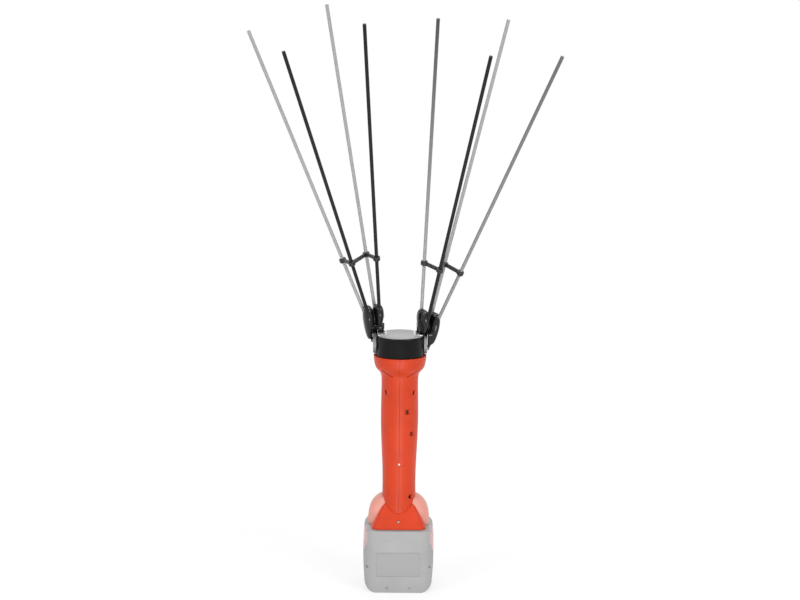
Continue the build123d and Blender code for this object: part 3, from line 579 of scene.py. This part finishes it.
class FinishDrive(bpy.types.Operator):
    """Finishes the motor, the gears and the parts inside the handle"""

    bl_idname = "harvester.finish_drive"
    bl_label = "Drive"

    def execute(self, context):
        cut = brushed("hobbed_steel", (0.34, 0.34, 0.35), 0.3, (1.0, 1.0, 0.05))
        dress(cut, "bevel_gear", "bevel_pinion", "sun_gear", "planet_gear_1", "planet_gear_2", "planet_gear_3")
        dress(cut, "planet_carrier", "ring_gear", "motor_shaft")
        dress(brushed("drawn_can", (0.40, 0.41, 0.42), 0.28), "motor_can")
        dress(cast("die_cast_alloy", (0.42, 0.42, 0.43)), "gearbox_cover", "motor_mount")
        dress(moulded("inner_nylon", (0.02, 0.02, 0.02), 0.5), "motor_endcap", "switch_body", "cell_holders")
        dress(lacquered_board("green_board", (0.02, 0.14, 0.05)), "control_board")
        dress(moulded("lead_sleeve", (0.34, 0.02, 0.015), 0.5, 1200.0), "power_leads")
        dress(brushed("plated_contact", (0.60, 0.42, 0.16), 0.25), "dock_contacts", "battery_contacts")
        dress(sleeve("cell_sleeve", (0.05, 0.22, 0.30)), "battery_cells")
        return {"FINISHED"}


class FinishHandle(bpy.types.Operator):
    """Finishes the handle shells, the foot cover, the dock and the battery pack"""

    bl_idname = "harvester.finish_handle"
    bl_label = "Handle and pack"

    def execute(self, context):
        look = context.scene.harvester_body
        orange = moulded("orange_moulding", look.orange, 0.4, 1700.0, 0.00004, 0.35)
        dress(orange, "left_shell", "right_shell")
        cover = soft_casting("foot_cover_moulding", "housing", 0.00045, 6, ("foot_cover",))
        cover.data.materials.append(orange)
        screw = countersunk_screw("foot_screw", "housing", (0.0, -25.9, 80.3), 1.15, 2.4)
        screw.data.materials.append(machined("foot_screw_zinc", (0.4, 0.4, 0.41), 0.35, "Y", (0.0, 0.0, 0.0803)))
        dress(moulded("salmon_moulding", look.salmon, 0.42, 1700.0, 0.00004, 0.35), "battery_dock")
        pack = pack_skin("pack_moulding", look.grey, look.button, 0.5)
        dress(pack, "battery_case", "battery_lid")
        dress(moulded("button_moulding", look.button, 0.45), "pack_button_left", "pack_button_right")
        # Painted shade: the shell screws are coloured dark orange, the shade of the orange pockets they sit in.
        dress(machined("shell_screw_painted_shade", (0.25, 0.06, 0.03), 0.4, "X"), "shell_screws")
        dress(machined("pivot_steel", (0.6, 0.6, 0.6), 0.25, "X"), "trigger_pin")
        dress(moulded("trigger_black", (0.02, 0.02, 0.02), 0.4), "trigger", "lock_button")
        dress(lens("lamp_lens", (0.85, 0.80, 0.75)), "indicator_lamp")
        return {"FINISHED"}


class SetStage(bpy.types.Operator):
    """Makes the floor, the lights, the world and the camera"""

    bl_idname = "harvester.set_stage"
    bl_label = "Stage"

    def execute(self, context):
        scene = context.scene
        look = scene.harvester_stage
        mesh = bpy.data.meshes.new("studio_floor")
        build = bmesh.new()
        bmesh.ops.create_grid(build, x_segments=4, y_segments=4, size=30.0)
        build.to_mesh(mesh)
        build.free()
        floor = bpy.data.objects.new("studio_floor", mesh)
        scene.collection.objects.link(floor)
        mesh.materials.append(self.floor_paint())
        self.white_world(scene)
        self.softbox(scene, "key_softbox", (1.5, -1.7, 1.9), (0.0, 0.0, 0.3), 1.1, 31.0)
        self.softbox(scene, "fill_softbox", (-1.7, -1.5, 2.0), (0.0, 0.0, 0.3), 1.3, 26.0)
        self.softbox(scene, "top_softbox", (0.0, 0.5, 2.6), (0.0, 0.0, 0.3), 1.2, 24.0)
        self.softbox(scene, "low_softbox", (0.0, -0.44, 0.02), (0.0, -0.15, 0.34), 0.18, 1.0)
        camera_data = bpy.data.cameras.new("studio_camera")
        camera_data.lens = look.lens
        camera_data.sensor_width = 36.0
        camera_data.clip_end = 60.0
        camera = bpy.data.objects.new("studio_camera", camera_data)
        scene.collection.objects.link(camera)
        aim = Matrix.Rotation(math.pi / 2 - look.pitch, 4, "X") @ Matrix.Rotation(look.roll, 4, "Z")
        camera.matrix_world = Matrix.Translation((-0.0006, -look.distance, look.height)) @ aim
        scene.camera = camera
        scene.view_settings.view_transform = "Standard"
        return {"FINISHED"}

    def floor_paint(self):
        """White paper that keeps the tool's shadow."""
        finish = Finish("paper_floor", roughness=0.9)
        fibres = finish.noise(900.0, 3.0)
        finish.wire("Base Color", finish.blend(fibres, (0.86, 0.86, 0.86, 1.0), (0.9, 0.9, 0.9, 1.0)))
        seen = finish.node("ShaderNodeLightPath", {}, {}, "Is Camera Ray")
        mirrored = finish.node("ShaderNodeLightPath", {}, {}, "Is Glossy Ray")
        through = finish.node("ShaderNodeLightPath", {}, {}, "Is Transmission Ray")
        away = finish.node("ShaderNodeVectorMath", {"operation": "LENGTH"}, {0: finish.place}, "Value")
        white = finish.ramp(away, 0.15, 1.1, 0.72, 0.97)
        share = white * (seen + through + mirrored)
        glow = finish.node("ShaderNodeEmission", {}, {"Color": (1.0, 1.0, 1.0, 1.0), "Strength": 1.02})
        mix = finish.node(
            "ShaderNodeMixShader", {}, {0: share, 1: Signal(finish.tree, finish.shader.outputs[0]), 2: glow})
        end = next(n for n in finish.tree.nodes if n.type == "OUTPUT_MATERIAL")
        finish.tree.links.new(mix.socket, end.inputs["Surface"])
        return finish.material

    def white_world(self, scene):
        """A world that looks white and lights softly."""
        world = bpy.data.worlds.new("studio_world")
        world.use_nodes = True
        tree = world.node_tree
        back = tree.nodes["Background"]
        back.inputs["Color"].default_value = (1.0, 1.0, 1.0, 1.0)
        path = tree.nodes.new("ShaderNodeLightPath")
        seen = Signal(tree, path.outputs["Is Camera Ray"])
        mirrored = Signal(tree, path.outputs["Is Glossy Ray"])
        through = Signal(tree, path.outputs["Is Transmission Ray"])
        strength = 0.42 + 0.58 * (seen + mirrored + through)
        tree.links.new(strength.socket, back.inputs["Strength"])
        scene.world = world

    def softbox(self, scene, name, place, target, size, watts):
        """A square area lamp aimed at a point."""
        lamp = bpy.data.lights.new(name, "AREA")
        lamp.size = size
        lamp.energy = watts
        piece = bpy.data.objects.new(name, lamp)
        scene.collection.objects.link(piece)
        run = Vector(target) - Vector(place)
        piece.matrix_world = Matrix.Translation(place) @ run.to_track_quat("-Z", "Y").to_matrix().to_4x4()


class HARVESTER_PT_panel(bpy.types.Panel):
    """Lists the harvester's makers and finishes"""

    bl_label = "Harvester"
    bl_idname = "HARVESTER_PT_panel"
    bl_space_type = "VIEW_3D"
    bl_region_type = "UI"
    bl_category = "Harvester"

    def draw(self, context):
        scene = context.scene
        for title, group, operators in SECTIONS:
            box = self.layout.box()
            box.label(text=title)
            look = getattr(scene, group)
            for name in look.__annotations__:
                box.prop(look, name)
            for operator in operators:
                box.operator(operator.bl_idname)


SECTIONS = (
    ("Rods", "harvester_rods", (FinishRods,)),
    ("Head", "harvester_head", (FinishHead, FinishDrive)),
    ("Body", "harvester_body", (FinishHandle,)),
    ("Stage", "harvester_stage", (SetStage,)),
)

GROUPS = {
    "harvester_rods": HarvesterRods,
    "harvester_head": HarvesterHead,
    "harvester_body": HarvesterBody,
    "harvester_stage": HarvesterStage,
}

OPERATORS = (FinishRods, FinishHead, FinishDrive, FinishHandle, SetStage)


def register():
    for group in GROUPS.values():
        bpy.utils.register_class(group)
    for name, group in GROUPS.items():
        setattr(bpy.types.Scene, name, bpy.props.PointerProperty(type=group))
    for operator in OPERATORS:
        bpy.utils.register_class(operator)
    bpy.utils.register_class(HARVESTER_PT_panel)


def unregister():
    bpy.utils.unregister_class(HARVESTER_PT_panel)
    for operator in reversed(OPERATORS):
        bpy.utils.unregister_class(operator)
    for name, group in reversed(GROUPS.items()):
        delattr(bpy.types.Scene, name)
        bpy.utils.unregister_class(group)


def main():
    """Dresses the frame."""
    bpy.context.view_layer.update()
    register()
    for operator in OPERATORS:
        area, name = operator.bl_idname.split(".")
        getattr(getattr(bpy.ops, area), name)()


if __name__ == "__main__":
    main()
